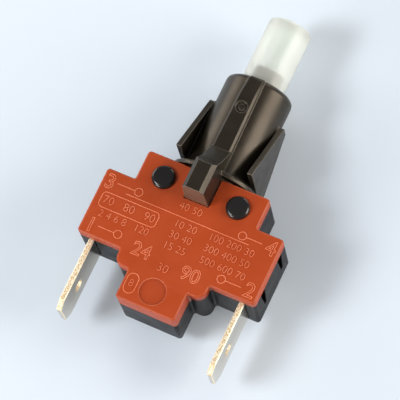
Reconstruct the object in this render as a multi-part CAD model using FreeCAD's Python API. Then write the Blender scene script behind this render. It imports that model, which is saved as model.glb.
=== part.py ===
import FreeCAD, Part
import math
import os

V = FreeCAD.Vector

# Push-button oven lamp switch, latching, one pole, millimetres.
# Frame: X to the right of the front view, +Y along the button out of the panel, +Z out of the red
# cover. The origin is on the button's axis, in the flange face that meets the panel.

# Fits between pieces
slide_clearance = 0.08
pin_clearance = 0.15
seat_clearance = 0.05

# Case outline, seen from the front, symmetric about X = 0
case_top_y = -0.9
upper_half_width = 9.22
upper_height = 4.53
wide_half_width = 13.38
wide_height = 9.87
lobe_half_width = 6.75
lobe_height = 2.2
tongue_half_width = 4.47
tongue_height = 4.2
case_corner_radius = 0.5
lobe_corner_radius = 1.4
inner_corner_radius = 0.3

# Case depth; the blades set how deep the tray is
cover_face_z = 5.2
cover_thickness = 1.7
tongue_skirt_depth = 3.1
case_wall = 1.2
cover_edge = 0.18
case_back_edge = 0.4

# Neck of the housing, inside the collar
neck_outer_radius = 4.1
neck_top_y = 3.0

# Melted pegs that hold the cover, placed from the upper corners of the case
peg_from_side = 3.6
peg_from_top = 2.9
peg_radius = 1.1
peg_head_radius = 1.68
peg_head_height = 0.7
peg_head_edge = 0.5

# Slits in the side walls, from the cover backwards, wide at the cover and narrow at the foot
slit_mouth_width = 1.2
slit_foot_width = 0.45
slit_depth = 5.0
slit_into_wall = 0.8
slit_below_shoulder = 2.06
slit_above_bottom = 2.5

# Guide walls beside the slider
guide_wall = 0.9
guide_below_shoulder = 1.17
guide_above_bottom = 2.0

# Locating ribs under the cover
locating_rib_height = 1.0
locating_rib_thickness = 0.8
locating_rib_margin = 0.6

# Moulding mark on the tongue
mark_above_bottom = 2.6
mark_radius = 1.7
mark_ring_radius = 2.0
mark_depth = 0.12
mark_ring_depth = 0.22

# Collar
barrel_radius = 5.0
barrel_top_y = 14.8
barrel_rim_radius = 0.8
bore_chamfer = 0.25
flange_radius = 6.45
flange_thickness = 0.6
collar_foot_radius = 5.3

# Snap ears: a flat fin on each side, split by the barrel into a front and a back ear
ear_thickness = 0.75
panel_gap = 0.8
ear_length = 9.6
ear_half_width = 6.85
ear_top_half_width = 1.0
ear_tip_height = 0.5
ear_tip_slope = 0.35
ear_root_half_width = 1.3
ear_root_depth = 0.6

# Front rib, ramp and hook box
rib_top_half_width = 1.24
rib_root_depth = 1.0
rib_edge_chamfer = 0.3
rib_height = 0.9
rib_lead_length = 3.2
rib_lead_drop = 0.95
ramp_start_y = 2.9
ramp_half_width = 1.48
ramp_middle_y = 0.6
ramp_rise = 2.1
box_half_width = 1.79
box_shoulder_top_y = -0.1
box_shoulder_bottom_y = -0.9
box_face_start_y = -1.0
box_end_y = -5.2
box_height = 5.4
box_face_half_width = 1.0
box_chamfer_depth = 0.68
box_side_draft = 0.2
rib_dimple_from_top = 5.2
rib_dimple_radius = 0.85
rib_dimple_depth = 0.3
rib_dimple_edge = 0.2
gate_mark_radius = 0.45
gate_mark_height = 0.22
gate_mark_edge = 0.15

# Button and the stem inside it
button_radius = 3.2
button_reach = 10.2
button_edge_radius = 0.55
button_travel = 4.5
button_core_radius = 0.5
button_crown = 0.9
stem_radius = 1.45
stem_below_top = 6.7
shank_radius = 2.3

# Slider
slider_half_width = 3.0
slider_front_gap = 1.1
slider_back_gap = 0.14
slider_top_gap = 0.5
slider_below_pin = 1.1
slider_corner_radius = 0.4
window_half_depth = 1.6

# Blade terminals
blade_thickness = 0.8
blade_width = 6.3
blade_length = 10.7
blade_from_side = 1.59
blade_under_cover = 0.15
blade_above_floor = 0.09
blade_hole_from_end = 4.7
blade_hole_radius = 0.95
blade_lead_length = 1.4
blade_lead_width = 1.0
blade_edge_chamfer = 0.15
blade_corner_radius = 0.2
blade_shoulder_drop = 0.7
foot_length = 4.19
foot_half_depth = 1.8
foot_bend_radius = 0.35
shelf_height = 0.9
shelf_overhang = 0.2

# Contact rivets, bridge and its spring
tip_from_blade = 2.89
tip_radius = 1.2
tip_height = 0.5
tip_edge = 0.2
rivet_radius = 0.6
contact_gap = 3.05
bridge_thickness = 0.5
bridge_overhang = 1.3
bridge_half_depth = 1.5
bridge_corner_radius = 0.6
bridge_boss_radius = 0.7
bridge_boss_height = 0.3
contact_spring_length = 3.6
contact_mean_radius = 1.0
contact_wire_radius = 0.15
contact_turns = 3
contact_post_radius = 0.75
contact_post_length = 0.9

# Latch pin and heart track, the heart placed above the pin's tip at rest
pin_wire_radius = 0.4
pin_pivot_from_top = 2.3
pin_reach = 10.8
pin_tip_x = 1.3
pin_bend_radius = 0.6
pin_pivot_depth = 1.1
track_depth = 0.6
track_floor_gap = 0.1
track_corner_radius = 0.9
heart_half_width = 0.72
heart_point_rise = 1.0
heart_side_rise = 2.1
heart_notch_rise = 3.05
heart_shoulder_rise = 3.4
heart_top_rise = 3.8
heart_top_x = 0.42
heart_rounding = 0.15

# Flat spring over the pin
leaf_half_width = 0.9
leaf_thickness = 0.15
leaf_below_pivot = 1.2
leaf_length = 5.6
leaf_pocket_depth = 0.7
leaf_bow = 0.45

# Return spring under the slider
return_from_back = 2.3
return_mean_radius = 1.45
return_wire_radius = 0.2
return_pocket_radius = 1.85
return_below_window = 1.2
return_turns = 6
return_post_radius = 1.1
return_post_length = 1.0
wire_flats = 6
edge_steps = 3

# Case places worked out from the sizes above
shoulder_y = case_top_y - upper_height
wide_bottom_y = shoulder_y - wide_height
lobe_bottom_y = wide_bottom_y - lobe_height
tongue_bottom_y = lobe_bottom_y - tongue_height
parting_z = cover_face_z - cover_thickness
skirt_z = cover_face_z - tongue_skirt_depth
floor_z = parting_z - blade_under_cover - blade_width - blade_above_floor
case_back_z = floor_z - case_wall
inner_top_y = case_top_y - case_wall
peg_x = upper_half_width - peg_from_side
peg_y = case_top_y - peg_from_top
slit_places = (shoulder_y - slit_below_shoulder, wide_bottom_y + slit_above_bottom)
guide_x = slider_half_width + 2 * slide_clearance
bore_radius = button_radius + slide_clearance

# Terminal and bridge places
blade_outer_x = wide_half_width - blade_from_side
blade_inner_x = blade_outer_x - blade_thickness
blade_end_y = wide_bottom_y - blade_length
blade_centre_z = parting_z - blade_under_cover - blade_width / 2
foot_inner_x = blade_outer_x - foot_length
foot_underside_y = wide_bottom_y + case_wall + shelf_height
foot_top_y = foot_underside_y + blade_thickness
blade_shoulder_y = foot_underside_y - blade_shoulder_drop
tip_x = blade_outer_x - tip_from_blade
bridge_underside_y = foot_top_y + 2 * tip_height + contact_gap
bridge_top_y = bridge_underside_y + bridge_thickness
bridge_half_length = tip_x + bridge_overhang
window_bottom_y = bridge_underside_y - seat_clearance
window_top_y = bridge_top_y + contact_spring_length

# Slider, button and latch places
slider_front_z = parting_z - slider_front_gap
slider_back_z = floor_z + slider_back_gap
slider_top_y = inner_top_y - slider_top_gap
pin_pivot_y = case_top_y - pin_pivot_from_top
pin_tip_y = pin_pivot_y - pin_reach
pin_axis_z = slider_front_z + pin_clearance + pin_wire_radius
pin_tip_z = slider_front_z - track_depth + track_floor_gap
slider_bottom_y = pin_tip_y - slider_below_pin
return_axis_z = slider_back_z + return_from_back
return_pocket_top_y = window_bottom_y - return_below_window
spring_end_y = tongue_bottom_y + case_wall
leaf_top_y = pin_pivot_y - leaf_below_pivot
leaf_bottom_y = leaf_top_y - leaf_length
button_bottom_y = neck_top_y + 2 * seat_clearance
button_top_y = barrel_top_y + button_reach
stem_top_y = button_top_y - stem_below_top

# Collar places
rib_face_z = barrel_radius + rib_height
rib_lead_y = barrel_top_y - rib_lead_length
ramp_middle_z = rib_face_z + ramp_rise
box_face_z = cover_face_z + box_height
ear_inner_x = barrel_radius
ear_top_y = panel_gap + ear_length
rib_dimple_y = barrel_top_y - rib_dimple_from_top
mark_y = tongue_bottom_y + mark_above_bottom

# Longer than any piece, for cuts that run right through
through = 60.0

# How far a cut starts outside the piece, or a joined bar inside it
overrun = 1.0


def box_between(low, high):
    """A box from its lowest to its highest corner."""
    size = [high[i] - low[i] for i in range(3)]
    return Part.makeBox(size[0], size[1], size[2], V(*low))


def along_y(radius, start_y, end_y, x=0.0, z=0.0):
    """A round bar along Y."""
    return Part.makeCylinder(radius, end_y - start_y, V(x, start_y, z), V(0, 1, 0))


def along_z(radius, start_z, end_z, x=0.0, y=0.0):
    """A round bar along Z."""
    return Part.makeCylinder(radius, end_z - start_z, V(x, y, start_z), V(0, 0, 1))


def rounded_wire(corners):
    """A closed wire in the XY plane through (x, y, radius) corners, each corner rounded."""
    count = len(corners)
    starts = []
    ends = []
    middles = []
    for i in range(count):
        before = V(corners[i - 1][0], corners[i - 1][1], 0)
        here = V(corners[i][0], corners[i][1], 0)
        after = V(corners[(i + 1) % count][0], corners[(i + 1) % count][1], 0)
        radius = corners[i][2]
        way_in = (before - here).normalize()
        way_out = (after - here).normalize()
        if radius <= 0:
            starts.append(here)
            ends.append(here)
            middles.append(None)
            continue
        half_turn = way_in.getAngle(way_out) / 2
        reach = radius / math.tan(half_turn)
        starts.append(here + way_in * reach)
        ends.append(here + way_out * reach)
        bisector = (way_in + way_out).normalize()
        middles.append(here + bisector * (radius / math.sin(half_turn) - radius))
    edges = []
    for i in range(count):
        if middles[i] is not None:
            edges.append(Part.Arc(starts[i], middles[i], ends[i]).toShape())
        following = starts[(i + 1) % count]
        if ends[i].distanceToPoint(following) > 1e-6:
            edges.append(Part.LineSegment(ends[i], following).toShape())
    return Part.Wire(edges)


def plate(corners, low_z, high_z):
    """A flat plate in the XY plane between two heights."""
    face = Part.Face(rounded_wire(corners))
    face.translate(V(0, 0, low_z))
    return face.extrude(V(0, 0, high_z - low_z))


def side_plate(corners, low_x, high_x):
    """A plate parallel to the YZ plane from (y, z, radius) corners, between two X values."""
    face = Part.Face(rounded_wire(corners))
    face.rotate(V(0, 0, 0), V(1, 1, 1), 120)
    face.translate(V(low_x, 0, 0))
    return face.extrude(V(high_x - low_x, 0, 0))


def mirrored(right_half):
    """A closed list of corners from its right half, listed from the top down."""
    left_half = [(-x, y, radius) for x, y, radius in reversed(right_half)]
    return right_half + left_half


def mirror_x(shape):
    """The same shape on the other side of the middle plane."""
    return shape.mirror(V(0, 0, 0), V(1, 0, 0))


def edges_where(shape, test):
    """Edges of a shape whose every point sample passes a test."""
    found = []
    for edge in shape.Edges:
        first, last = edge.ParameterRange
        samples = [edge.valueAt(first + (last - first) * step / 4) for step in range(5)]
        if all(test(point) for point in samples):
            found.append(edge)
    return found


def case_corners(inset=0.0):
    """The stepped outline of the case, moved inwards by an inset."""
    outer = max(case_corner_radius - inset, 0.1)
    lobe = max(lobe_corner_radius - inset, 0.1)
    inner = inner_corner_radius + inset
    right = [
        (upper_half_width - inset, case_top_y - inset, outer),
        (upper_half_width - inset, shoulder_y - inset, inner),
        (wide_half_width - inset, shoulder_y - inset, outer),
        (wide_half_width - inset, wide_bottom_y + inset, outer),
        (lobe_half_width - inset, wide_bottom_y + inset, inner),
        (lobe_half_width - inset, lobe_bottom_y + inset, lobe),
        (tongue_half_width - inset, lobe_bottom_y + inset, inner),
        (tongue_half_width - inset, tongue_bottom_y + inset, outer),
    ]
    return mirrored(right)


def below_lobes(low_z, high_z):
    """The space of the tongue below the lobes."""
    return box_between((-through, -through, low_z), (through, lobe_bottom_y, high_z))


def turned(profile):
    """A solid turned about Y from (radius, y) points that start and end on the axis."""
    points = [V(radius, y, 0) for radius, y in profile]
    face = Part.Face(Part.makePolygon(points + [points[0]]))
    return face.revolve(V(0, 0, 0), V(0, 1, 0), 360)


def round_end(radius, top_y, edge_radius):
    """The (radius, y) points of a bar's rounded end, in a few flat steps, from its side to its top."""
    points = []
    for step in range(edge_steps + 1):
        turn = math.pi / 2 * step / edge_steps
        out = radius - edge_radius + edge_radius * math.cos(turn)
        points.append((out, top_y - edge_radius + edge_radius * math.sin(turn)))
    return points


def wire_section(radius, centre, across, along):
    """The outline of a drawn wire, as a polygon around a centre."""
    corners = []
    for flat in range(wire_flats + 1):
        turn = math.tau * flat / wire_flats
        corners.append(centre + across * (radius * math.cos(turn)) + along * (radius * math.sin(turn)))
    return Part.makePolygon(corners)


def helix_spring(mean_radius, wire_radius, turns, start_y, end_y, axis_z):
    """A coil spring along Y with ends ground flat."""
    length = end_y - start_y
    path = Part.makeHelix(length / turns, length, mean_radius)
    section = wire_section(wire_radius, V(mean_radius, 0, 0), V(1, 0, 0), V(0, 0, 1))
    coil = Part.Wire(path.Edges).makePipeShell([section], True, True)
    ground = Part.makeCylinder(mean_radius + 2 * wire_radius, length, V(0, 0, 0), V(0, 0, 1))
    coil = coil.common(ground)
    coil.rotate(V(0, 0, 0), V(1, 0, 0), -90)
    coil.translate(V(0, start_y, axis_z))
    return coil


def span(side, inner_x, outer_x):
    """Low and high X of a piece that lies between two distances on one side."""
    return sorted((side * inner_x, side * outer_x))


def make_housing():
    """Black tray with neck, guide walls, terminal shelves and melted pegs."""
    tray = plate(case_corners(), case_back_z, parting_z)
    back_edges = edges_where(tray, lambda p: abs(p.z - case_back_z) < 1e-4)
    tray = tray.makeChamfer(case_back_edge, back_edges)
    tray = tray.cut(plate(case_corners(case_wall), floor_z, parting_z + overrun))
    tray = tray.cut(below_lobes(skirt_z, parting_z + overrun))
    tray = tray.fuse(along_y(neck_outer_radius, case_top_y, neck_top_y))
    tray = tray.cut(along_y(bore_radius, inner_top_y, neck_top_y))
    post_top_y = spring_end_y + return_post_length
    tray = tray.fuse(along_y(return_post_radius, spring_end_y, post_top_y, 0, return_axis_z))
    for side in (-1, 1):
        tray = tray.fuse(housing_walls(side))
        tray = tray.cut(housing_cuts(side))
        tray = tray.fuse(peg(side * peg_x))
    return tray.removeSplitter()


def housing_walls(side):
    """Guide walls of the slider and the shelf under the terminal's foot, on one side."""
    low_x, high_x = span(side, guide_x, guide_x + guide_wall)
    guide_upper_end_y = shoulder_y - guide_below_shoulder
    guide_lower_start_y = wide_bottom_y + guide_above_bottom
    upper = box_between((low_x, guide_upper_end_y, floor_z), (high_x, inner_top_y, parting_z))
    lower = box_between((low_x, lobe_bottom_y, floor_z), (high_x, guide_lower_start_y, parting_z))
    low_x, high_x = span(side, foot_inner_x - shelf_overhang, blade_inner_x - seat_clearance)
    shelf_low = (low_x, wide_bottom_y + case_wall, floor_z)
    shelf = box_between(shelf_low, (high_x, foot_underside_y, foot_half_depth))
    return [upper, lower, shelf]


def housing_cuts(side):
    """The slot that the blade leaves through and the slits of the side wall."""
    low_x, high_x = span(side, blade_inner_x - seat_clearance, blade_outer_x + seat_clearance)
    slot_low = (low_x, wide_bottom_y - overrun, blade_centre_z - blade_width / 2 - seat_clearance)
    cuts = [box_between(slot_low, (high_x, wide_bottom_y + case_wall, parting_z + overrun))]
    low_x, high_x = span(side, wide_half_width - slit_into_wall, wide_half_width + overrun)
    foot_z = parting_z - slit_depth
    for slit_y in slit_places:
        slit_corners = [
            (slit_y + slit_mouth_width / 2, parting_z, 0),
            (slit_y + slit_foot_width / 2, foot_z, 0),
            (slit_y - slit_foot_width / 2, foot_z, 0),
            (slit_y - slit_mouth_width / 2, parting_z, 0),
        ]
        cuts.append(side_plate(slit_corners, low_x, high_x))
    return cuts


def head(radius, height, edge_radius):
    """A flat round head with a rounded edge, standing on Y = 0."""
    return turned([(0, 0), (radius, 0)] + round_end(radius, height, edge_radius) + [(0, height)])


def peg(x):
    """A peg with its melted head over the cover."""
    post = along_z(peg_radius, floor_z, cover_face_z, x, peg_y)
    melted = head(peg_head_radius, peg_head_height, peg_head_edge)
    melted.rotate(V(0, 0, 0), V(1, 0, 0), 90)
    melted.translate(V(x, peg_y, cover_face_z))
    return post.fuse(melted)


def make_cover():
    """Red cover plate with the tongue's skirt, peg holes and the pocket of the flat spring."""
    cover = plate(case_corners(), parting_z, cover_face_z)
    skirt = plate(case_corners(), skirt_z, parting_z).common(below_lobes(skirt_z, parting_z))
    skirt = skirt.cut(plate(case_corners(case_wall), skirt_z - overrun, parting_z))
    cover = cover.fuse(skirt).removeSplitter()
    face_edges = edges_where(cover, lambda p: abs(p.z - cover_face_z) < 1e-4)
    cover = cover.makeChamfer(cover_edge, face_edges)
    for side in (-1, 1):
        hole_radius = peg_radius + seat_clearance
        hole = along_z(hole_radius, parting_z - overrun, cover_face_z + overrun, side * peg_x, peg_y)
        cover = cover.cut(hole)
        wall_x = upper_half_width - case_wall - seat_clearance
        low_x, high_x = span(side, wall_x - locating_rib_thickness, wall_x)
        rib_low = (low_x, shoulder_y + locating_rib_margin, parting_z - locating_rib_height)
        cover = cover.fuse(box_between(rib_low, (high_x, inner_top_y - locating_rib_margin, parting_z)))
    pocket = box_between(
        (-leaf_half_width - seat_clearance, leaf_bottom_y - seat_clearance, parting_z),
        (leaf_half_width + seat_clearance, leaf_top_y + seat_clearance, parting_z + leaf_pocket_depth),
    )
    cover = cover.cut(pocket)
    pivot_radius = pin_wire_radius + slide_clearance
    pivot_top = parting_z + pin_pivot_depth + seat_clearance
    cover = cover.cut(along_z(pivot_radius, parting_z - overrun, pivot_top, 0, pin_pivot_y))
    above_z = cover_face_z + overrun
    ring = along_z(mark_ring_radius, cover_face_z - mark_ring_depth, above_z, 0, mark_y)
    ring = ring.cut(along_z(mark_radius, parting_z, above_z, 0, mark_y))
    disc = along_z(mark_radius, cover_face_z - mark_depth, above_z, 0, mark_y)
    return cover.cut(ring).cut(disc).removeSplitter()


def snap_ears(side):
    """The flat fin of one side, with the strip that joins it to the barrel."""
    slope_top_y = ear_top_y - ear_tip_height
    slope_half_width = ear_top_half_width + ear_tip_slope
    fin_corners = [
        (ear_top_y, ear_top_half_width, 0),
        (slope_top_y, slope_half_width, 0),
        (panel_gap, ear_half_width, 0),
        (panel_gap, -ear_half_width, 0),
        (slope_top_y, -slope_half_width, 0),
        (ear_top_y, -ear_top_half_width, 0),
    ]
    low_x, high_x = span(side, ear_inner_x, ear_inner_x + ear_thickness)
    fin = side_plate(fin_corners, low_x, high_x)
    low_x, high_x = span(side, ear_inner_x - ear_root_depth, ear_inner_x)
    root_low = (low_x, panel_gap, -ear_root_half_width)
    return fin.fuse(box_between(root_low, (high_x, ear_top_y, ear_root_half_width)))


def front_rib():
    """Rib, ramp and hook box: a side profile crossed with a front outline."""
    rib_inner_z = barrel_radius - rib_root_depth
    profile = [
        (barrel_top_y, rib_inner_z, 0),
        (barrel_top_y, rib_face_z - rib_lead_drop, barrel_rim_radius),
        (rib_lead_y, rib_face_z, 0),
        (ramp_start_y, rib_face_z, 0),
        (ramp_middle_y, ramp_middle_z, 0),
        (box_face_start_y, box_face_z, 0),
        (box_end_y, box_face_z, 0),
        (box_end_y, cover_face_z, 0),
        (case_top_y, cover_face_z, 0),
        (case_top_y, rib_inner_z, 0),
    ]
    side_view = side_plate(profile, -box_half_width, box_half_width)
    outline = mirrored([
        (rib_top_half_width, barrel_top_y, 0),
        (ramp_half_width, ramp_start_y, 0),
        (ramp_half_width, box_shoulder_top_y, 0),
        (box_half_width, box_shoulder_bottom_y, 0),
        (box_half_width, box_end_y, 0),
    ])
    front_view = plate(outline, 0, box_face_z + overrun)
    rib = side_view.common(front_view).common(hook_section())
    outer_z = barrel_radius - barrel_rim_radius
    long_edges = edges_where(rib, lambda p: p.y > ramp_start_y - 1e-3 and p.z > outer_z
                             and abs(p.x) > rib_top_half_width - 1e-3)
    rib = rib.makeChamfer(rib_edge_chamfer, long_edges)
    dimple = head(rib_dimple_radius, rib_dimple_depth, rib_dimple_edge)
    dimple.rotate(V(0, 0, 0), V(1, 0, 0), -90)
    dimple.translate(V(0, rib_dimple_y, rib_face_z))
    gate_mark = head(gate_mark_radius, gate_mark_height, gate_mark_edge)
    gate_mark.rotate(V(0, 0, 0), V(1, 0, 0), 90)
    gate_mark.translate(V(0, rib_dimple_y, rib_face_z - rib_dimple_depth))
    return rib.cut(dimple).fuse(gate_mark)


def hook_section():
    """The section of the hook box across Y: drafted sides and a long chamfer on each front edge."""
    half = [
        V(box_half_width, 0, 0),
        V(box_half_width, 0, cover_face_z),
        V(box_half_width - box_side_draft, 0, box_face_z - box_chamfer_depth),
        V(box_face_half_width, 0, box_face_z),
    ]
    other_half = [V(-point.x, 0, point.z) for point in reversed(half)]
    section = Part.Face(Part.makePolygon(half + other_half + [half[0]]))
    section.translate(V(0, box_end_y, 0))
    return section.extrude(V(0, barrel_top_y - box_end_y, 0))


def make_collar():
    """Barrel, panel flange, snap ears, rib and hook box, moulded as one piece."""
    rim = round_end(barrel_radius, barrel_top_y, barrel_rim_radius)
    barrel = turned([(0, 0), (barrel_radius, 0)] + rim + [(0, barrel_top_y)])
    collar = barrel.fuse(along_y(flange_radius, -flange_thickness, 0))
    collar = collar.fuse(along_y(collar_foot_radius, case_top_y, 0))
    collar = collar.fuse([snap_ears(-1), snap_ears(1), front_rib()])
    collar = collar.cut(along_y(bore_radius, case_top_y - overrun, barrel_top_y + overrun))
    lead = Part.makeCone(bore_radius, bore_radius + bore_chamfer, bore_chamfer,
                         V(0, barrel_top_y - bore_chamfer, 0), V(0, 1, 0))
    collar = collar.cut(lead)
    socket_top = neck_top_y + seat_clearance
    collar = collar.cut(along_y(neck_outer_radius + seat_clearance, case_top_y - overrun, socket_top))
    return collar.removeSplitter()


def make_button():
    """White cap with a stepped bore for the slider's stem."""
    rim = round_end(button_radius, button_top_y, button_edge_radius)
    cap = turned([(0, button_bottom_y), (button_radius, button_bottom_y)] + rim + [(0, button_top_y)])
    start_y = button_bottom_y - overrun
    stem_bore = along_y(stem_radius + seat_clearance, start_y, stem_top_y + seat_clearance)
    core = along_y(button_core_radius, start_y, button_top_y - button_crown)
    return cap.cut(stem_bore.fuse(core))


def heart_track():
    """The ring-shaped channel around the heart, cut into the front of the slider."""
    reach_x = pin_tip_x + pin_wire_radius + pin_clearance
    bottom = pin_tip_y - pin_wire_radius - 2 * pin_clearance
    top = pin_tip_y + button_travel + pin_wire_radius + pin_clearance
    channel_corners = [
        (reach_x, top, track_corner_radius),
        (reach_x, bottom, track_corner_radius),
        (-reach_x, bottom, track_corner_radius),
        (-reach_x, top, track_corner_radius),
    ]
    track_floor_z = slider_front_z - track_depth
    channel = plate(channel_corners, track_floor_z, slider_front_z + overrun)
    heart_half = [
        (heart_top_x, pin_tip_y + heart_top_rise, heart_rounding),
        (heart_half_width, pin_tip_y + heart_shoulder_rise, heart_rounding),
        (heart_half_width, pin_tip_y + heart_side_rise, heart_rounding),
    ]
    heart_notch = [(0, pin_tip_y + heart_notch_rise, 0)]
    heart_point = [(0, pin_tip_y + heart_point_rise, heart_rounding)]
    other_half = [(-x, y, radius) for x, y, radius in reversed(heart_half)]
    heart_corners = heart_notch + heart_half + heart_point + other_half
    heart = plate(heart_corners, track_floor_z - overrun, slider_front_z + 2 * overrun)
    return channel.cut(heart)


def make_slider():
    """Plunger under the button: stem, shank, bridge window, heart track and spring pocket."""
    body_corners = mirrored([
        (slider_half_width, slider_top_y, slider_corner_radius),
        (slider_half_width, slider_bottom_y, slider_corner_radius),
    ])
    slider = plate(body_corners, slider_back_z, slider_front_z)
    slider = slider.fuse(along_y(shank_radius, slider_top_y - overrun, button_bottom_y))
    slider = slider.fuse(along_y(stem_radius, button_bottom_y - overrun, stem_top_y))
    window = box_between(
        (-through, window_bottom_y, -window_half_depth),
        (through, window_top_y, window_half_depth),
    )
    slider = slider.cut(window)
    post_end_y = window_top_y - contact_post_length
    slider = slider.fuse(along_y(contact_post_radius, post_end_y, window_top_y + overrun))
    pocket = along_y(return_pocket_radius, slider_bottom_y - overrun, return_pocket_top_y, 0, return_axis_z)
    slider = slider.cut(pocket)
    return slider.cut(heart_track()).removeSplitter()


def make_return_spring():
    """Coil from the housing's end wall to the slider's pocket."""
    return helix_spring(return_mean_radius, return_wire_radius, return_turns,
                        spring_end_y, return_pocket_top_y, return_axis_z)


def make_contact_spring():
    """Coil between the top of the window and the bridge."""
    return helix_spring(contact_mean_radius, contact_wire_radius, contact_turns,
                        bridge_top_y, window_top_y, 0)


def make_latch_pin():
    """Bent wire: pivot end in the cover, long leg down the slider, tip in the heart track."""
    drop = pin_pivot_y - pin_tip_y
    length = math.hypot(drop, pin_tip_x)
    bend = pin_bend_radius
    diagonal = bend * (1 - math.sqrt(0.5))
    pivot_top = V(0, 0, parting_z + pin_pivot_depth)
    pivot_low = V(0, 0, pin_axis_z + bend)
    leg_start = V(0, -bend, pin_axis_z)
    leg_end = V(0, -length + bend, pin_axis_z)
    tip_start = V(0, -length, pin_axis_z - bend)
    tip_end = V(0, -length, pin_tip_z)
    first_bend = V(0, -diagonal, pin_axis_z + diagonal)
    second_bend = V(0, -length + diagonal, pin_axis_z - diagonal)
    edges = [
        Part.LineSegment(pivot_top, pivot_low).toShape(),
        Part.Arc(pivot_low, first_bend, leg_start).toShape(),
        Part.LineSegment(leg_start, leg_end).toShape(),
        Part.Arc(leg_end, second_bend, tip_start).toShape(),
        Part.LineSegment(tip_start, tip_end).toShape(),
    ]
    section = wire_section(pin_wire_radius, pivot_top, V(1, 0, 0), V(0, 1, 0))
    wire = Part.Wire(edges).makePipeShell([section], True, True)
    wire.rotate(V(0, 0, 0), V(0, 0, 1), -math.degrees(math.asin(pin_tip_x / length)))
    wire.translate(V(0, pin_pivot_y, 0))
    return wire


def make_latch_leaf():
    """Bowed strip in the cover's pocket, pressing on the latch pin."""
    middle_y = (leaf_top_y + leaf_bottom_y) / 2
    low_z = pin_axis_z + pin_wire_radius + seat_clearance
    outer = [V(0, leaf_top_y, low_z + leaf_bow), V(0, middle_y, low_z), V(0, leaf_bottom_y, low_z + leaf_bow)]
    inner = [point + V(0, 0, leaf_thickness) for point in outer]
    edges = [
        Part.Arc(outer[0], outer[1], outer[2]).toShape(),
        Part.LineSegment(outer[2], inner[2]).toShape(),
        Part.Arc(inner[2], inner[1], inner[0]).toShape(),
        Part.LineSegment(inner[0], outer[0]).toShape(),
    ]
    face = Part.Face(Part.Wire(edges))
    face.translate(V(-leaf_half_width, 0, 0))
    return face.extrude(V(2 * leaf_half_width, 0, 0))


def rivet(x, plate_low_y, plate_high_y, direction):
    """A contact rivet through a plate, with its domed head on the side of the direction."""
    contact = head(tip_radius, tip_height, tip_edge)
    if direction < 0:
        contact.rotate(V(0, 0, 0), V(1, 0, 0), 180)
    contact.translate(V(x, plate_high_y if direction > 0 else plate_low_y, 0))
    shank = along_y(rivet_radius, plate_low_y, plate_high_y, x)
    return contact.fuse(shank).removeSplitter()


def make_contact_bridge():
    """Copper plate with holes for its rivets and a boss for its spring."""
    face = Part.Face(rounded_wire(mirrored([
        (bridge_half_length, bridge_half_depth, bridge_corner_radius),
        (bridge_half_length, -bridge_half_depth, bridge_corner_radius),
    ])))
    face.rotate(V(0, 0, 0), V(1, 0, 0), 90)
    face.translate(V(0, bridge_underside_y, 0))
    bridge = face.extrude(V(0, bridge_thickness, 0))
    bridge = bridge.fuse(along_y(bridge_boss_radius, bridge_underside_y, bridge_top_y + bridge_boss_height))
    for side in (-1, 1):
        hole = along_y(rivet_radius, bridge_underside_y - overrun, bridge_top_y + overrun, side * tip_x)
        bridge = bridge.cut(hole)
    return bridge.removeSplitter()


def make_terminal(side):
    """Blade with its hole and lead-in, and the bent foot that carries the fixed contact."""
    low = blade_centre_z - blade_width / 2
    high = blade_centre_z + blade_width / 2
    blade_corners = [
        (blade_shoulder_y, high, blade_corner_radius),
        (blade_end_y + blade_lead_length, high, blade_corner_radius),
        (blade_end_y, high - blade_lead_width, blade_corner_radius),
        (blade_end_y, low + blade_lead_width, blade_corner_radius),
        (blade_end_y + blade_lead_length, low, blade_corner_radius),
        (blade_shoulder_y, low, blade_corner_radius),
    ]
    blade = side_plate(blade_corners, blade_inner_x, blade_outer_x)
    lead_y = blade_end_y + blade_lead_length
    face_places = (blade_inner_x, blade_outer_x)
    tip_edges = edges_where(blade, lambda p: p.y < lead_y and min(abs(p.x - x) for x in face_places) < 1e-4)
    blade = blade.makeChamfer(blade_edge_chamfer, tip_edges)
    foot_corners = [
        (foot_inner_x, foot_top_y, 0),
        (blade_outer_x, foot_top_y, foot_bend_radius + blade_thickness),
        (blade_outer_x, blade_shoulder_y - overrun, 0),
        (blade_inner_x, blade_shoulder_y - overrun, 0),
        (blade_inner_x, foot_underside_y, foot_bend_radius),
        (foot_inner_x, foot_underside_y, 0),
    ]
    foot = plate(foot_corners, -foot_half_depth, foot_half_depth)
    terminal = blade.fuse(foot)
    hole_y = blade_end_y + blade_hole_from_end
    hole = Part.makeCylinder(blade_hole_radius, blade_thickness + 2 * overrun,
                             V(blade_inner_x - overrun, hole_y, blade_centre_z), V(1, 0, 0))
    terminal = terminal.cut(hole)
    terminal = terminal.cut(along_y(rivet_radius, foot_underside_y - overrun, foot_top_y + overrun, tip_x))
    terminal = terminal.removeSplitter()
    if side < 0:
        terminal = mirror_x(terminal)
    return terminal


def save(name, shape):
    """One STEP file for each piece, with its volume printed."""
    solid = shape.Solids[0] if len(shape.Solids) == 1 else shape
    solid.exportStep("parts/" + name + ".step")
    print(name, "solids", len(shape.Solids), "valid", shape.isValid(), "mm3", round(shape.Volume, 2))


def main():
    os.makedirs("parts", exist_ok=True)
    save("housing", make_housing())
    save("cover", make_cover())
    save("collar", make_collar())
    save("button", make_button())
    save("slider", make_slider())
    save("return_spring", make_return_spring())
    save("latch_pin", make_latch_pin())
    save("latch_leaf", make_latch_leaf())
    save("contact_bridge", make_contact_bridge())
    save("contact_spring", make_contact_spring())
    for name, side in (("left", -1), ("right", 1)):
        save("terminal_" + name, make_terminal(side))
        save("fixed_tip_" + name, rivet(side * tip_x, foot_underside_y, foot_top_y, 1))
        save("bridge_tip_" + name, rivet(side * tip_x, bridge_underside_y, bridge_top_y, -1))


main()
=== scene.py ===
import math

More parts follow.
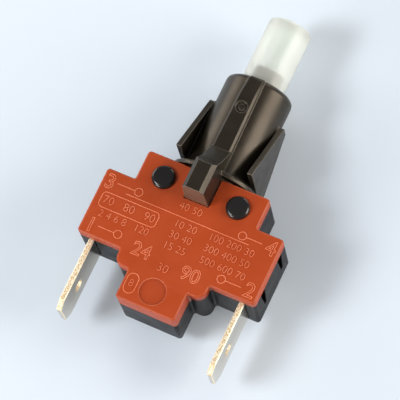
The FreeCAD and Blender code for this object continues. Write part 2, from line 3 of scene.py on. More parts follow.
import bmesh
import bpy
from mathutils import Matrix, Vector


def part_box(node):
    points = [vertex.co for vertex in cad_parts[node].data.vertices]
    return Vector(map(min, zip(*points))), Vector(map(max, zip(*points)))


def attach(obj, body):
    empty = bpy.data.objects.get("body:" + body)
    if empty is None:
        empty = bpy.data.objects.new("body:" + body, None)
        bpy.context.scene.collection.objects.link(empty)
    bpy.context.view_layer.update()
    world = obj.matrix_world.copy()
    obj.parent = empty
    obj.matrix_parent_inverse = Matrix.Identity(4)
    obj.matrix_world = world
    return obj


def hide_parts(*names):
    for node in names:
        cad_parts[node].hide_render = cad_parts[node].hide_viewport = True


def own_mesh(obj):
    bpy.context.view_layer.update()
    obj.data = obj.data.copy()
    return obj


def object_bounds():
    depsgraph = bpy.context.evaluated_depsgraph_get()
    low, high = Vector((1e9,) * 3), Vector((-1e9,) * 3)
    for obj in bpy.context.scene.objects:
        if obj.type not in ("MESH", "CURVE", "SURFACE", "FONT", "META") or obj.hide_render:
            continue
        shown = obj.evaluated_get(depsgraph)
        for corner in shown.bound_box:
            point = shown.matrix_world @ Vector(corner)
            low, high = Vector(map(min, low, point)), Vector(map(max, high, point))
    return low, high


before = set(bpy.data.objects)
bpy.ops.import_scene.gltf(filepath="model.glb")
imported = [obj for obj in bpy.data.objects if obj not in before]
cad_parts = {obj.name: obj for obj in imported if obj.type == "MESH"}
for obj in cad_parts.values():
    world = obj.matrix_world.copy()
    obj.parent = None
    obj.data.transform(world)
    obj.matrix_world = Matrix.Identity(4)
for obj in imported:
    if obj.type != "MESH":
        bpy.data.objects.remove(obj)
cad_low, cad_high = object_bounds()
bpy.ops.object.select_all(action="DESELECT")

# Push-button oven lamp switch, dressed over its CAD frame, metres.
# X to the right of the front view, +Y along the button, +Z out of the red cover.
MM = 0.001

# Camera, at the photograph's place, and how near and far it sees
camera_place = (77.32 * MM, -88.46 * MM, 319.41 * MM)
camera_turn = (0.3310, 0.1071, 0.4419)
camera_lens = 220.85
camera_near = 0.01
camera_far = 10

# Places read from the CAD nodes
cover_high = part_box("cover")[1]
cover_face = cover_high.z
button_low, button_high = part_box("button")
button_radius = button_high.x
slider_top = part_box("slider")[1].y
blade_thickness = 0.8 * MM
blade_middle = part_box("terminal_right")[1].x - blade_thickness / 2

# How near two places count as the same, how near two corners of a copy are merged,
# and the angle up to which its triangles lie in one face
near = 0.01 * MM
merge_distance = 0.002 * MM
flat_angle = math.radians(1)


def paint(red, green, blue):
    """A linear colour from the red, green and blue that show on the screen, 0 to 255."""
    linear = []
    for value in (red, green, blue):
        share = value / 255
        linear.append(share / 12.92 if share <= 0.04045 else ((share + 0.055) / 1.055) ** 2.4)
    return (*linear, 1.0)


def make_camera():
    """The camera that frames the object as the photograph does."""
    bpy.ops.object.camera_add(location=camera_place, rotation=camera_turn)
    camera = bpy.context.object
    camera.name = "camera"
    camera.data.lens = camera_lens
    camera.data.clip_start = camera_near
    camera.data.clip_end = camera_far
    bpy.context.scene.camera = camera


def soft_lamp(name, place, width, length, power, colour):
    """A soft rectangular lamp that looks at the middle of the object."""
    bpy.ops.object.light_add(type="AREA", location=place)
    lamp = bpy.context.object
    lamp.name = name
    lamp.data.shape = "RECTANGLE"
    lamp.data.size = width
    lamp.data.size_y = length
    lamp.data.energy = power
    lamp.data.color = colour
    lamp.rotation_euler = (-Vector(place)).to_track_quat("-Z", "Y").to_euler()


# Lamps: name, place, width, length, watts and colour
warm = (1.0, 0.94, 0.86)
neutral = (1, 1, 1)
lamps = (
    ("lamp_right", (0.45, 0.13, 0.19), 0.30, 0.36, 2.7, warm),
    ("lamp_left", (-0.46, 0.13, 0.14), 0.30, 0.26, 1.1, warm),
    ("lamp_front", (-0.20, -0.47, 0.14), 0.24, 0.14, 1.5, warm),
    ("lamp_top", (-0.26, -0.24, 0.40), 0.16, 0.16, 1.5, neutral),
    ("lamp_back", (0.06, 0.48, 0.12), 0.24, 0.10, 0.5, warm),
)


def make_lights():
    """Plain soft studio light: a wide low lamp on each side, others in front, above and behind."""
    for lamp in lamps:
        soft_lamp(*lamp)


# Room: its colour, and its strength as a light and as what the camera and clear plastic see
room_colour = (0.82, 0.85, 0.88, 1)
room_light = 0.30
room_seen = 1.0


def make_world():
    """A pale room: bright to the camera and through clear plastic, plain soft light elsewhere."""
    world = bpy.data.worlds.new("pale_room")
    bpy.context.scene.world = world
    world.use_nodes = True
    nodes = world.node_tree.nodes
    links = world.node_tree.links
    background = nodes["Background"]
    background.inputs["Color"].default_value = room_colour
    rays = nodes.new("ShaderNodeLightPath")
    seen = nodes.new("ShaderNodeMath")
    seen.operation = "MAXIMUM"
    links.new(rays.outputs["Is Camera Ray"], seen.inputs[0])
    links.new(rays.outputs["Is Transmission Ray"], seen.inputs[1])
    strength = nodes.new("ShaderNodeMapRange")
    strength.inputs["To Min"].default_value = room_light
    strength.inputs["To Max"].default_value = room_seen
    links.new(seen.outputs[0], strength.inputs["Value"])
    links.new(strength.outputs["Result"], background.inputs["Strength"])


# Floor: metres across, and its colour
floor_size = 4
floor_colour = paint(214, 224, 236)


def make_floor():
    """A plain pale floor under the object's lowest point."""
    bpy.ops.mesh.primitive_plane_add(size=floor_size, location=(0, 0, cad_low.z))
    floor = bpy.context.object
    floor.name = "floor"
    material = bpy.data.materials.new("pale_floor")
    material.use_nodes = True
    shader = material.node_tree.nodes["Principled BSDF"]
    shader.inputs["Base Color"].default_value = floor_colour
    shader.inputs["Roughness"].default_value = 0.9
    shader.inputs["Specular IOR Level"].default_value = 0.1
    floor.data.materials.append(material)


def group_with(name, inputs, outputs):
    """A new shader node group with float or vector inputs and float or colour outputs."""
    group = bpy.data.node_groups.new(name, "ShaderNodeTree")
    for label, kind in inputs:
        group.interface.new_socket(label, in_out="INPUT", socket_type=kind)
    for label, kind in outputs:
        group.interface.new_socket(label, in_out="OUTPUT", socket_type=kind)
    start = group.nodes.new("NodeGroupInput")
    end = group.nodes.new("NodeGroupOutput")
    return group, start, end


def make_skin_group():
    """Fine moulded grain and broad mottle from the piece's own coordinates."""
    group, start, end = group_with(
        "moulded_skin",
        [("Vector", "NodeSocketVector"), ("Grain", "NodeSocketFloat"), ("Mottle", "NodeSocketFloat")],
        [("Height", "NodeSocketFloat"), ("Patches", "NodeSocketFloat")],
    )
    grain = group.nodes.new("ShaderNodeTexNoise")
    grain.inputs["Detail"].default_value = 6
    grain.inputs["Roughness"].default_value = 0.65
    group.links.new(start.outputs["Vector"], grain.inputs["Vector"])
    group.links.new(start.outputs["Grain"], grain.inputs["Scale"])
    patches = group.nodes.new("ShaderNodeTexNoise")
    patches.inputs["Detail"].default_value = 3
    group.links.new(start.outputs["Vector"], patches.inputs["Vector"])
    group.links.new(start.outputs["Mottle"], patches.inputs["Scale"])
    group.links.new(grain.outputs["Fac"], end.inputs["Height"])
    group.links.new(patches.outputs["Fac"], end.inputs["Patches"])
    return group


# How far the rounded normal turns from the flat one where an edge starts and is full, as cosines
edge_starts = 0.995
edge_full = 0.90


def make_edge_highlight_group():
    """A mask of the sharp edges, painted paler: a painted highlight along them, with some rubbed wear.
    """
    group, start, end = group_with(
        "rubbed_edge",
        [("Width", "NodeSocketFloat"), ("Break", "NodeSocketFloat")],
        [("Edge", "NodeSocketFloat")],
    )
    rounded = group.nodes.new("ShaderNodeBevel")
    rounded.samples = 4
    group.links.new(start.outputs["Width"], rounded.inputs["Radius"])
    surface = group.nodes.new("ShaderNodeNewGeometry")
    turn = group.nodes.new("ShaderNodeVectorMath")
    turn.operation = "DOT_PRODUCT"
    group.links.new(rounded.outputs["Normal"], turn.inputs[0])
    group.links.new(surface.outputs["Normal"], turn.inputs[1])
    mask = group.nodes.new("ShaderNodeMapRange")
    mask.inputs["From Min"].default_value = edge_starts
    mask.inputs["From Max"].default_value = edge_full
    group.links.new(turn.outputs["Value"], mask.inputs["Value"])
    broken = group.nodes.new("ShaderNodeMath")
    broken.operation = "MULTIPLY"
    group.links.new(mask.outputs["Result"], broken.inputs[0])
    group.links.new(start.outputs["Break"], broken.inputs[1])
    group.links.new(broken.outputs["Value"], end.inputs["Edge"])
    return group


def make_grain_group():
    """Noise drawn out along the rolling direction by its own stretch on each axis."""
    group, start, end = group_with(
        "drawn_grain",
        [("Vector", "NodeSocketVector"), ("Stretch", "NodeSocketVector")],
        [("Grain", "NodeSocketFloat")],
    )
    stretched = group.nodes.new("ShaderNodeVectorMath")
    stretched.operation = "MULTIPLY"
    group.links.new(start.outputs["Vector"], stretched.inputs[0])
    group.links.new(start.outputs["Stretch"], stretched.inputs[1])
    noise = group.nodes.new("ShaderNodeTexNoise")
    noise.inputs["Scale"].default_value = 1
    noise.inputs["Detail"].default_value = 5
    group.links.new(stretched.outputs["Vector"], noise.inputs["Vector"])
    group.links.new(noise.outputs["Fac"], end.inputs["Grain"])
    return group


skin_group = make_skin_group()
edge_highlight_group = make_edge_highlight_group()
grain_group = make_grain_group()


def new_material(name):
    """A node material with its tree's parts at hand."""
    material = bpy.data.materials.new(name)
    material.use_nodes = True
    tree = material.node_tree
    return material, tree.nodes, tree.links, tree.nodes["Principled BSDF"]


def two_tones(nodes, links, share, first, second):
    """A colour between two others, by a share."""
    mix = nodes.new("ShaderNodeMix")
    mix.data_type = "RGBA"
    for socket, tone in (("A", first), ("B", second)):
        if isinstance(tone, tuple):
            mix.inputs[socket].default_value = tone
        else:
            links.new(tone, mix.inputs[socket])
    links.new(share, mix.inputs["Factor"])
    return mix.outputs["Result"]


def remapped(nodes, links, value, low, high, first=0.0, last=1.0):
    """A value stretched from one range to another."""
    stretch = nodes.new("ShaderNodeMapRange")
    stretch.inputs["From Min"].default_value = low
    stretch.inputs["From Max"].default_value = high
    stretch.inputs["To Min"].default_value = first
    stretch.inputs["To Max"].default_value = last
    links.new(value, stretch.inputs["Value"])
    return stretch.outputs["Result"]


def bumped(nodes, links, shader, height, strength, distance):
    """Fine relief on the shader's normal."""
    relief = nodes.new("ShaderNodeBump")
    relief.inputs["Strength"].default_value = strength
    relief.inputs["Distance"].default_value = distance
    links.new(height, relief.inputs["Height"])
    links.new(relief.outputs["Normal"], shader.inputs["Normal"])


def skinned(nodes, links, grain, mottle):
    """The moulded skin on the piece's own coordinates, with its own two scales."""
    place = nodes.new("ShaderNodeTexCoord")
    skin = nodes.new("ShaderNodeGroup")
    skin.node_tree = skin_group
    skin.inputs["Grain"].default_value = grain
    skin.inputs["Mottle"].default_value = mottle
    links.new(place.outputs["Object"], skin.inputs["Vector"])
    return skin


def drawn_out(nodes, links, stretch):
    """The drawn grain on the piece's own coordinates, with its own stretch."""
    place = nodes.new("ShaderNodeTexCoord")
    grain = nodes.new("ShaderNodeGroup")
    grain.node_tree = grain_group
    grain.inputs["Stretch"].default_value = stretch
    links.new(place.outputs["Object"], grain.inputs["Vector"])
    return grain.outputs["Grain"]


# Moulded skin: scales of its grain and mottle, width of the paler edges (a painted highlight with some
# rubbed wear), depth of the relief
grain_scale = 9000
mottle_scale = 350
edge_width = 0.12 * MM
relief_depth = 0.02 * MM
plain_tint = (1, 1, 1, 1)


def moulded(name, dark, light, edge, rough, sheen=0.5, tint=plain_tint, bump=0.15):
    """Moulded plastic: fine grain, mottled colour and gloss, and paler edges, a painted highlight with
    some rubbed wear.
    """
    material, nodes, links, shader = new_material(name)
    shader.inputs["Specular IOR Level"].default_value = sheen
    shader.inputs["Specular Tint"].default_value = tint
    skin = skinned(nodes, links, grain_scale, mottle_scale)
    tone = two_tones(nodes, links, skin.outputs["Patches"], paint(*dark), paint(*light))
    edges = nodes.new("ShaderNodeGroup")
    edges.node_tree = edge_highlight_group
    edges.inputs["Width"].default_value = edge_width
    breaks = remapped(nodes, links, skin.outputs["Patches"], 0.3, 0.6, 0.5, 1.0)
    links.new(breaks, edges.inputs["Break"])
    # The paler edges are a painted highlight along the sharp edges, with some rubbed wear.
    lit_worn_edges = two_tones(nodes, links, edges.outputs["Edge"], tone, paint(*edge))
    links.new(lit_worn_edges, shader.inputs["Base Color"])
    gloss = remapped(nodes, links, skin.outputs["Patches"], 0.3, 0.7, rough - 0.05, rough + 0.05)
    links.new(gloss, shader.inputs["Roughness"])
    bumped(nodes, links, shader, skin.outputs["Height"], bump, relief_depth)
    return material


# Inner metal: scale of its even grain, and the strength of its relief
metal_grain = (800, 800, 800)
metal_bump = 0.1


def metal(name, dark, light, rough):
    """Plated or rolled metal with a fine grain and a little uneven tone."""
    material, nodes, links, shader = new_material(name)
    shader.inputs["Metallic"].default_value = 1
    streaks = drawn_out(nodes, links, metal_grain)
    tone = two_tones(nodes, links, streaks, paint(*dark), paint(*light))
    links.new(tone, shader.inputs["Base Color"])
    gloss = remapped(nodes, links, streaks, 0, 1, rough - 0.08, rough + 0.08)
    links.new(gloss, shader.inputs["Roughness"])
    bumped(nodes, links, shader, streaks, metal_bump, relief_depth)
    return material


def maths(nodes, links, operation, first, second=None):
    """One step of reckoning on values or sockets."""
    step = nodes.new("ShaderNodeMath")
    step.operation = operation
    for index, value in enumerate((first, second)):
        if isinstance(value, bpy.types.NodeSocket):
            links.new(value, step.inputs[index])
        elif value is not None:
            step.inputs[index].default_value = value
    return step.outputs["Value"]


# Blades: grain of the rolled faces and of the cut edges, half widths between which the brass core
# fades out, the grain's range in it, and the depth of the cut edges' relief
rolled_grain = (300, 60, 300)
cut_grain = (8000, 3600, 8000)
core_fade = (0.40 * MM, 0.24 * MM)
core_grains = (0.56, 0.42)
cut_relief = 0.05 * MM


def tab_metal(name):
    """Tinned brass tab: bright rolled faces, and cut edges with a core of bare brass grains."""
    material, nodes, links, shader = new_material(name)
    faces = drawn_out(nodes, links, rolled_grain)
    cuts = drawn_out(nodes, links, cut_grain)
    surface = nodes.new("ShaderNodeTexCoord")
    facing = nodes.new("ShaderNodeSeparateXYZ")
    links.new(surface.outputs["Normal"], facing.inputs["Vector"])
    place = nodes.new("ShaderNodeSeparateXYZ")
    links.new(surface.outputs["Object"], place.inputs["Vector"])
    sideways = maths(nodes, links, "ABSOLUTE", facing.outputs["X"])
    endways = maths(nodes, links, "ABSOLUTE", facing.outputs["Y"])
    rolled_or_end = maths(nodes, links, "MAXIMUM", sideways, endways)
    cut_mask = remapped(nodes, links, rolled_or_end, 0.95, 0.85)
    from_middle = maths(nodes, links, "ABSOLUTE", place.outputs["X"])
    past_core = maths(nodes, links, "SUBTRACT", from_middle, blade_middle)
    from_core = maths(nodes, links, "ABSOLUTE", past_core)
    core = remapped(nodes, links, from_core, *core_fade)
    grains = remapped(nodes, links, cuts, *core_grains)
    bare = maths(nodes, links, "MULTIPLY", core, grains)
    specks = remapped(nodes, links, bare, 1, 0)
    face_tone = two_tones(nodes, links, faces, paint(196, 190, 178), paint(228, 222, 208))
    cut_tone = two_tones(nodes, links, specks, paint(206, 168, 116), paint(252, 244, 218))
    links.new(two_tones(nodes, links, cut_mask, face_tone, cut_tone), shader.inputs["Base Color"])
    links.new(remapped(nodes, links, cut_mask, 0, 1, 1.0, 0.3), shader.inputs["Metallic"])
    links.new(remapped(nodes, links, cut_mask, 0, 1, 0.24, 0.5), shader.inputs["Roughness"])
    cut_height = maths(nodes, links, "MULTIPLY", cuts, cut_mask)
    bumped(nodes, links, shader, cut_height, 0.5, cut_relief)
    return material


# Milky cap: share of light that goes through, how far the rest spreads, its grain and mottle
cap_clearness = 0.62
cap_spread = 0.6 * MM
cap_grain = 5000
cap_mottle = 260


def milky_plastic(name):
    """Translucent milky cap: light goes some way in, and the dark stem shows faintly."""
    material, nodes, links, shader = new_material(name)
    shader.inputs["IOR"].default_value = 1.45
    shader.inputs["Transmission Weight"].default_value = cap_clearness
    shader.inputs["Subsurface Weight"].default_value = 1.0
    shader.inputs["Subsurface Radius"].default_value = (1.0, 1.0, 0.95)
    shader.inputs["Subsurface Scale"].default_value = cap_spread
    skin = skinned(nodes, links, cap_grain, cap_mottle)
    tone = two_tones(nodes, links, skin.outputs["Patches"], paint(240, 243, 233), paint(246, 248, 241))
    links.new(tone, shader.inputs["Base Color"])
    gloss = remapped(nodes, links, skin.outputs["Patches"], 0.3, 0.7, 0.30, 0.42)
    links.new(gloss, shader.inputs["Roughness"])
    return material


# Warm brown gloss of the collar's plastic
collar_tint = (1.0, 0.86, 0.70, 1)

# Finishes: dark and light tone, tone of the paler edges on plastics (a painted highlight with some
# rubbed wear), and roughness
black_case = moulded("black_case", (14, 14, 16), (22, 22, 24), (44, 44, 46), 0.38, sheen=0.12)
black_collar = moulded(
    "black_collar", (26, 23, 18), (38, 34, 27), (150, 142, 128), 0.34, sheen=0.4, tint=collar_tint
)
red_cover = moulded("red_cover", (162, 59, 15), (174, 67, 22), (252, 178, 142), 0.45, sheen=0.35)
# The disc's red is a little darker than the cover's: painted shade in the sunk disc.
red_disc_painted_shade = moulded("red_disc_painted_shade", (158, 57, 14), (170, 65, 21), (170, 65, 21), 0.45, sheen=0.35)
# The raised marks are painted paler than the cover: a painted highlight on their strokes.
red_marks_painted_highlight = moulded("red_marks_painted_highlight", (198, 86, 44), (212, 100, 57), (240, 150, 113), 0.42, sheen=0.35)
hook_end = moulded("hook_end", (92, 66, 52), (122, 92, 74), (140, 116, 98), 0.65, bump=0.5)
peg_black = moulded("peg_black", (22, 20, 20), (30, 27, 26), (50, 48, 46), 0.2)
# The cap's inner walls are painted darker than its milky plastic: painted shade, nearly black in the
# stem bore, grey in the core.
bore_wall_painted_shade = moulded("bore_wall_painted_shade", (8, 11, 4), (14, 18, 8), (14, 18, 8), 0.6)
core_wall_painted_shade = moulded("core_wall_painted_shade", (196, 212, 214), (206, 222, 222), (206, 222, 222), 0.6)
slider_black = moulded("slider_black", (30, 30, 32), (44, 44, 46), (90, 90, 90), 0.4)
tinned_brass = tab_metal("tinned_brass")
copper_alloy = metal("copper_alloy", (180, 110, 75), (215, 140, 100), 0.35)
silver_contact = metal("silver_contact", (200, 200, 200), (235, 235, 235), 0.3)
spring_steel = metal("spring_steel", (150, 152, 155), (200, 202, 205), 0.3)
milky = milky_plastic("milky_button")

bare_nodes = {
    "terminal_left": tinned_brass,
    "terminal_right": tinned_brass,
    "latch_pin": spring_steel,
    "latch_leaf": spring_steel,
    "contact_bridge": copper_alloy,
    "fixed_tip_left": silver_contact,
    "fixed_tip_right": silver_contact,
    "bridge_tip_left": silver_contact,
    "bridge_tip_right": silver_contact,
}


def dress_bare_nodes():
    """Finishes for the CAD nodes that stay as they are."""
    for node, material in bare_nodes.items():
        for material_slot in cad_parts[node].material_slots:
            material_slot.material = material


def only(piece):
    """Selects one piece and nothing else."""
    bpy.ops.object.select_all(action="DESELECT")
    piece.select_set(True)
    bpy.context.view_layer.objects.active = piece


def whole_faces(piece):
    """Merges the triangles of a copy into whole faces."""
    only(piece)
    bpy.ops.object.mode_set(mode="EDIT")
    bpy.ops.mesh.select_all(action="SELECT")
    bpy.ops.mesh.remove_doubles(threshold=merge_distance)
    bpy.ops.mesh.dissolve_limited(angle_limit=flat_angle)
    bpy.ops.object.mode_set(mode="OBJECT")


def clean_copy(node, name):
    """A copy of a CAD node as a new piece, its triangles merged into whole faces."""
    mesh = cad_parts[node].data.copy()
    mesh.materials.clear()
    piece = bpy.data.objects.new(name, mesh)
    bpy.context.collection.objects.link(piece)
    whole_faces(piece)
    return piece


# Rounded edges of the mouldings: their width, the turn from which an edge is rounded,
# and the turn up to which shading runs smoothly over it
edge_round = 0.06 * MM
sharp_turn = math.radians(35)
smooth_turn = math.radians(50)


def soften(piece):
    """Small rounded edges and smooth shading."""
    only(piece)
    bevel = piece.modifiers.new("edges", "BEVEL")
    bevel.width = edge_round
    bevel.segments = 2
    bevel.limit_method = "ANGLE"
    bevel.angle_limit = sharp_turn
    bevel.use_clamp_overlap = False
    bpy.ops.object.modifier_apply(modifier="edges")
    bpy.ops.object.shade_smooth_by_angle(angle=smooth_turn)
    weighted = piece.modifiers.new("flat_faces", "WEIGHTED_NORMAL")
    weighted.weight = 100
    weighted.keep_sharp = True
    bpy.ops.object.modifier_apply(modifier="flat_faces")


def dressed_node(node, name, material, cut_first=None):
    """A softened copy that stands for a CAD node of the case."""
    piece = clean_copy(node, name)
    if cut_first:
        cut_first(piece)
    soften(piece)
    piece.data.materials.append(material)
    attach(piece, "case")
    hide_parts(node)
    return piece


def select_where(piece, test):
    """In edit mode, selects the faces whose middle passes a test."""
    bpy.ops.mesh.select_all(action="DESELECT")
    mesh = bmesh.from_edit_mesh(piece.data)
    for face in mesh.faces:
        if test(face.calc_center_median()):
            face.select_set(True)
    bmesh.update_edit_mesh(piece.data)


# The coils' smooth shading
coil_smooth_turn = math.radians(60)


def make_spring(node, name, body):
    """A coil, smooth shaded, that moves with its body."""
    coil = clean_copy(node, name)
    bpy.ops.object.shade_smooth_by_angle(angle=coil_smooth_turn)
    coil.data.materials.append(spring_steel)
    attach(coil, body)
    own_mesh(coil)
    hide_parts(node)


def cut_peg_heads(shell):
    """Takes the pegs' faceted heads off the copy, for round ones, and closes the posts."""
    bpy.ops.object.mode_set(mode="EDIT")
    select_where(shell, lambda middle: middle.z > cover_face - near)
    bpy.ops.mesh.delete(type="FACE")
    bpy.ops.mesh.select_all(action="SELECT")
    bpy.ops.mesh.fill_holes(sides=0)
    bpy.ops.object.mode_set(mode="OBJECT")


def round_place(points):
    """The middle and radius of a round form about Z, from its points."""
    low_x, high_x = min(point.x for point in points), max(point.x for point in points)
    low_y, high_y = min(point.y for point in points), max(point.y for point in points)
    return Vector(((low_x + high_x) / 2, (low_y + high_y) / 2, 0)), (high_x - low_x) / 2


# Round mark on the cover's tongue: its groove in CAD, and the plain sunk disc that shows
groove_depth = 0.22 * MM
disc_depth = 0.20 * MM
disc_radius = 1.87 * MM
groove_floor = [
    vertex.co
    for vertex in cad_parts["cover"].data.vertices
    if abs(vertex.co.z - cover_face + groove_depth) < near
]
disc_middle, groove_radius = round_place(groove_floor)


def from_disc(point):
    """The way from the disc's axis to a point, in the plane of the cover."""
    return Vector((point.x - disc_middle.x, point.y - disc_middle.y, 0))


def plain_disc(plate):
    """Makes one plain sunk disc of the round mark and the groove about it."""
    for vertex in plate.data.vertices:
        point = vertex.co
        away = from_disc(point)
        if point.z < cover_face - groove_depth - near or away.length > groove_radius + near:
            continue
        if point.z < cover_face - near:
            point.z = cover_face - disc_depth
        if away.length > groove_radius - near:
            point.x = disc_middle.x + away.x * disc_radius / groove_radius
            point.y = disc_middle.y + away.y * disc_radius / groove_radius
    whole_faces(plate)


# Gap in the cover about the foot of the collar's hook
gap_width = 0.14 * MM
gap_depth = 0.30 * MM


def cut_hook_gap(plate):
    """Cuts a narrow gap about the hook's foot, which shows as a dark line."""
    foot = [
        vertex.co
        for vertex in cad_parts["collar"].data.vertices
        if abs(vertex.co.z - cover_face) < near and vertex.co.y < cover_high.y
    ]
    half_width = max(point.x for point in foot) + gap_width
    low_y = min(point.y for point in foot) - gap_width
    high_y = cover_high.y + gap_width
    bpy.ops.object.select_all(action="DESELECT")
    bpy.ops.mesh.primitive_cube_add(
        size=1,
        location=(0, (low_y + high_y) / 2, cover_face),
        scale=(2 * half_width, high_y - low_y, 2 * gap_depth),
    )
    cutter = bpy.context.object
    only(plate)
    cut = plate.modifiers.new("gap", "BOOLEAN")
    cut.object = cutter
    cut.solver = "EXACT"
    bpy.ops.object.modifier_apply(modifier="gap")
    bpy.data.objects.remove(cutter)


def cut_cover(plate):
    """The cover's own fine forms: the disc on its tongue and the gap about the hook."""
    plain_disc(plate)
    cut_hook_gap(plate)


# How far under the cover's face a face of the disc's wall has its middle at the least
wall_start = 0.03 * MM


def shade_sunk_disc(plate):
    """The sunk disc gets a slightly darker red, painted shade of the recess, and no paler edges, so
    its inner corner stays dark.
    """
    plate.data.materials.append(red_disc_painted_shade)
    for face in plate.data.polygons:
        sunk = cover_face - disc_depth - near < face.center.z < cover_face - wall_start
        if sunk and from_disc(face.center).length < disc_radius + near:
            face.material_index = 1


# Rounded edge of the peg heads, how far they reach into the cover, and the turn
# up to which round pieces are shaded smoothly
head_edge = 0.5 * MM
head_sink = 0.02 * MM
round_turn = math.radians(40)


def make_peg_head(side, name):
    """A smooth round melted head in the place and size of the CAD one."""
    points = [
        vertex.co
        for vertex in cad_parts["housing"].data.vertices
        if vertex.co.z > cover_face + near and vertex.co.x * side > 0
    ]
    middle, radius = round_place(points)
    top = max(point.z for point in points)
    bottom = cover_face - head_sink
    bpy.ops.object.select_all(action="DESELECT")
    bpy.ops.mesh.primitive_cylinder_add(
        vertices=72,
        radius=radius,
        depth=top - bottom,
        location=(middle.x, middle.y, (top + bottom) / 2),
    )
    head = bpy.context.object
    head.name = name
    settle(head)
    bpy.ops.object.mode_set(mode="EDIT")
    select_where(head, lambda middle: middle.z > top - near)
    bpy.ops.mesh.bevel(offset=head_edge, segments=8, affect="EDGES")
    bpy.ops.object.mode_set(mode="OBJECT")
    bpy.ops.object.shade_smooth_by_angle(angle=round_turn)
    head.data.materials.append(peg_black)
    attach(head, "case")


# Slider's stem: how far it ends under its CAD top, where it shows through the cap
stem_drop = 0.9 * MM
stem_top = slider_top - stem_drop


def make_slider():
    """The slider with the stem that shows through the cap."""
    body = clean_copy("slider", "slider_body")
    for vertex in body.data.vertices:
        if vertex.co.y > slider_top - near:
            vertex.co.y = stem_top
    bpy.ops.object.shade_smooth_by_angle(angle=round_turn)
    body.data.materials.append(slider_black)
    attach(body, "plunger")
    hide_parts("slider")


# Button: rounded crown, core down the middle, wider bore for the stem
crown_radius = 0.55 * MM
crown_thickness = 0.9 * MM
core_radius = 0.5 * MM
stem_bore_radius = 1.5 * MM
stem_bore_top = stem_top + 0.05 * MM


def make_button():
    """Milky cap with a rounded crown, a stem bore from below and a blind core above it."""
    bottom = button_low.y
    top = button_high.y
    bpy.ops.mesh.primitive_cylinder_add(
        vertices=96,
        radius=button_radius,
        depth=top - bottom,
        location=(0, (bottom + top) / 2, 0),
        rotation=(math.radians(-90), 0, 0),
    )
    cap = bpy.context.object
    cap.name = "button_cap"
    settle(cap)
    bpy.ops.object.mode_set(mode="EDIT")
    select_where(cap, lambda middle: middle.y > top - near)
    bpy.ops.mesh.bevel(offset=crown_radius, segments=6, affect="EDGES")
    select_where(cap, lambda middle: middle.y < bottom + near)
    bpy.ops.mesh.inset(thickness=button_radius - stem_bore_radius)
    bpy.ops.mesh.extrude_region_move(
        TRANSFORM_OT_translate={"value": (0, stem_bore_top - bottom, 0)}
    )
    bpy.ops.mesh.inset(thickness=stem_bore_radius - core_radius)
    bpy.ops.mesh.extrude_region_move(
        TRANSFORM_OT_translate={"value": (0, top - crown_thickness - stem_bore_top, 0)}
    )
    bpy.ops.object.mode_set(mode="OBJECT")
    bpy.ops.object.shade_smooth_by_angle(angle=round_turn)
    # The walls of the stem bore and the core get the darker paint: painted shade seen through the cap.
    for material in (milky, bore_wall_painted_shade, core_wall_painted_shade):
        cap.data.materials.append(material)
    for face in cap.data.polygons:
        off_axis = math.hypot(face.center.x, face.center.z)
        if not bottom + near < face.center.y < top - near:
            continue
        if off_axis < core_radius + near:
            face.material_index = 2
        elif off_axis < stem_bore_radius + near:
            face.material_index = 1
    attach(cap, "plunger")
    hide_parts("button")


# Raised marks of the cover: height over its face, width and rounding of the lines,
# and how much thinner the figures' strokes are drawn, as a share of their size
mark_rise = 0.06 * MM
line_width = 0.13 * MM
line_edge = 0.4 * mark_rise
stroke_thinning = 0.020

# Terminal numbers with their contact signs: number, its place, the ring's place, the line's end
terminal_signs = (
    ("3", (-12.15 * MM, -7.25 * MM), (-7.85 * MM, -7.05 * MM), -11.1 * MM),
    ("4", (12.2 * MM, -7.3 * MM), (7.85 * MM, -7.1 * MM), 10.8 * MM),
    ("1", (-11.95 * MM, -13.9 * MM), (-7.9 * MM, -13.65 * MM), -10.9 * MM),
    ("2", (12.0 * MM, -13.8 * MM), (7.8 * MM, -13.8 * MM), 10.8 * MM),
)
terminal_number_size = 3.0 * MM
contact_ring_radius = 0.57 * MM

# Plain numbers: text, middle, size, and whether in outline
plain_numbers = (
    ("40 50", (-0.2 * MM, -6.5 * MM), 1.5 * MM, False),
    ("10 20", (0.2 * MM, -9.05 * MM), 1.5 * MM, False),
    ("100 200 30", (7.05 * MM, -8.95 * MM), 1.5 * MM, False),
    ("30 40", (0.2 * MM, -10.75 * MM), 1.5 * MM, False),
    ("300 400 50", (7.1 * MM, -10.65 * MM), 1.5 * MM, False),
    ("15 25", (0.1 * MM, -12.4 * MM), 1.5 * MM, False),
    ("500 600 70", (7.3 * MM, -12.4 * MM), 1.5 * MM, False),
    ("70   80   90", (-8.05 * MM, -9.8 * MM), 1.7 * MM, False),
    ("2 4 6 8", (-9.6 * MM, -11.85 * MM), 1.5 * MM, False),
    ("120", (-5.2 * MM, -11.85 * MM), 1.5 * MM, False),
    ("30", (-0.15 * MM, -15.6 * MM), 1.7 * MM, False),
    ("24", (-3.9 * MM, -14.5 * MM), 2.8 * MM, True),
    ("90", (3.7 * MM, -15.0 * MM), 2.8 * MM, True),
    ("8", (-3.2 * MM, -19.15 * MM), 1.5 * MM, False),
)

# Plain raised frames: low corner, high corner and corner radius
mark_frames = (
    ((-12.35 * MM, -10.95 * MM), (-3.75 * MM, -8.7 * MM), 0.6 * MM),
    ((-4.0 * MM, -20.6 * MM), (-2.4 * MM, -17.7 * MM), 0.78 * MM),
)

# Long line across the cover: its two ends along X, and its place along Y
long_line = (-9.4 * MM, 9.15 * MM, -7.95 * MM)


def settle(piece):
    """Applies a piece's place and turn, so that its object sits at the origin."""
    only(piece)
    bpy.ops.object.transform_apply(location=True, rotation=True, scale=True)


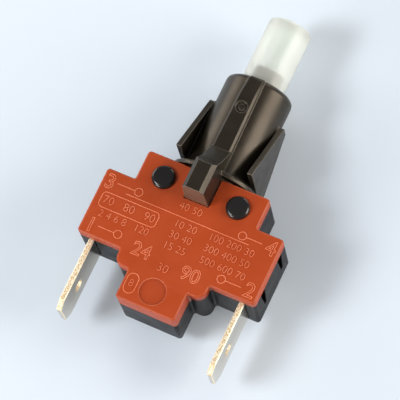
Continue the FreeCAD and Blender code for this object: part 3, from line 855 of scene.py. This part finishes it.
def raised_number(text, size, place, hollow):
    """Plain raised figures on the cover's face, solid or in outline."""
    bpy.ops.object.select_all(action="DESELECT")
    bpy.ops.object.text_add(location=(place[0], place[1], cover_face))
    figures = bpy.context.object
    figures.data.body = text
    figures.data.size = size
    figures.data.align_x = "CENTER"
    figures.data.align_y = "CENTER"
    if hollow:
        figures.data.fill_mode = "NONE"
        figures.data.bevel_depth = mark_rise
        figures.data.bevel_resolution = 1
    else:
        figures.data.extrude = mark_rise
        figures.data.offset = -stroke_thinning * size
    bpy.ops.object.convert(target="MESH")
    settle(figures)
    return figures


def raised_frame(low, high, corner):
    """A thin raised line round a box with rounded corners, half sunk in the cover's face."""
    bpy.ops.object.select_all(action="DESELECT")
    bpy.ops.mesh.primitive_plane_add(
        size=1,
        location=((low[0] + high[0]) / 2, (low[1] + high[1]) / 2, cover_face),
    )
    outline = bpy.context.object
    outline.scale = (high[0] - low[0], high[1] - low[1], 1)
    settle(outline)
    bpy.ops.object.mode_set(mode="EDIT")
    bpy.ops.mesh.bevel(offset=corner, segments=8, affect="VERTICES")
    bpy.ops.mesh.select_all(action="SELECT")
    bpy.ops.mesh.delete(type="ONLY_FACE")
    bpy.ops.object.mode_set(mode="OBJECT")
    bpy.ops.object.convert(target="CURVE")
    outline.data.bevel_depth = mark_rise
    outline.data.bevel_resolution = 1
    bpy.ops.object.convert(target="MESH")
    return outline


def raised_line(start_x, end_x, y):
    """A thin raised line along X with a rounded top."""
    length = abs(end_x - start_x)
    bpy.ops.mesh.primitive_cube_add(
        size=1,
        location=((start_x + end_x) / 2, y, cover_face),
        scale=(length, line_width, 2 * mark_rise),
    )
    line = bpy.context.object
    settle(line)
    bpy.ops.object.mode_set(mode="EDIT")
    bpy.ops.mesh.bevel(offset=line_edge, segments=2, affect="EDGES")
    bpy.ops.object.mode_set(mode="OBJECT")
    return line


def raised_ring(place, radius):
    """A thin raised ring, half sunk in the cover's face."""
    bpy.ops.mesh.primitive_torus_add(
        location=(place[0], place[1], cover_face),
        major_radius=radius,
        minor_radius=mark_rise,
        major_segments=40,
        minor_segments=8,
    )
    ring = bpy.context.object
    settle(ring)
    return ring


def finish_hook_end(moulding):
    """The end of the hook over the cover is rough and paler than the rest of the collar."""
    moulding.data.materials.append(hook_end)
    over_cover = [face for face in moulding.data.polygons if face.center.z > cover_face]
    end_y = min(face.center.y for face in over_cover)
    for face in over_cover:
        if face.center.y < end_y + 2 * near:
            face.material_index = 1


def make_cover_marks():
    """Terminal numbers, contact signs, the long line and the rows of plain numbers."""
    marks = []
    for number, number_place, ring_place, line_end in terminal_signs:
        marks.append(raised_number(number, terminal_number_size, number_place, True))
        marks.append(raised_ring(ring_place, contact_ring_radius))
        side = math.copysign(1, line_end)
        marks.append(raised_line(ring_place[0] + side * contact_ring_radius, line_end, ring_place[1]))
    for text, place, size, hollow in plain_numbers:
        marks.append(raised_number(text, size, place, hollow))
    for low, high, corner in mark_frames:
        marks.append(raised_frame(low, high, corner))
    marks.append(raised_line(*long_line))
    bpy.ops.object.select_all(action="DESELECT")
    for mark in marks:
        mark.select_set(True)
    bpy.context.view_layer.objects.active = marks[0]
    bpy.ops.object.join()
    piece = bpy.context.object
    piece.name = "cover_marks"
    piece.data.materials.clear()
    # The marks' paler red is a painted highlight.
    piece.data.materials.append(red_marks_painted_highlight)
    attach(piece, "case")


make_camera()
make_lights()
make_world()
make_floor()
dress_bare_nodes()
dressed_node("housing", "housing_shell", black_case, cut_peg_heads)
make_peg_head(-1, "peg_head_left")
make_peg_head(1, "peg_head_right")
shade_sunk_disc(dressed_node("cover", "cover_plate", red_cover, cut_cover))
finish_hook_end(dressed_node("collar", "collar_moulding", black_collar))
make_cover_marks()
make_slider()
make_button()
make_spring("return_spring", "return_coil", "case")
make_spring("contact_spring", "contact_coil", "bridge")

bpy.context.scene.view_settings.view_transform = "Standard"
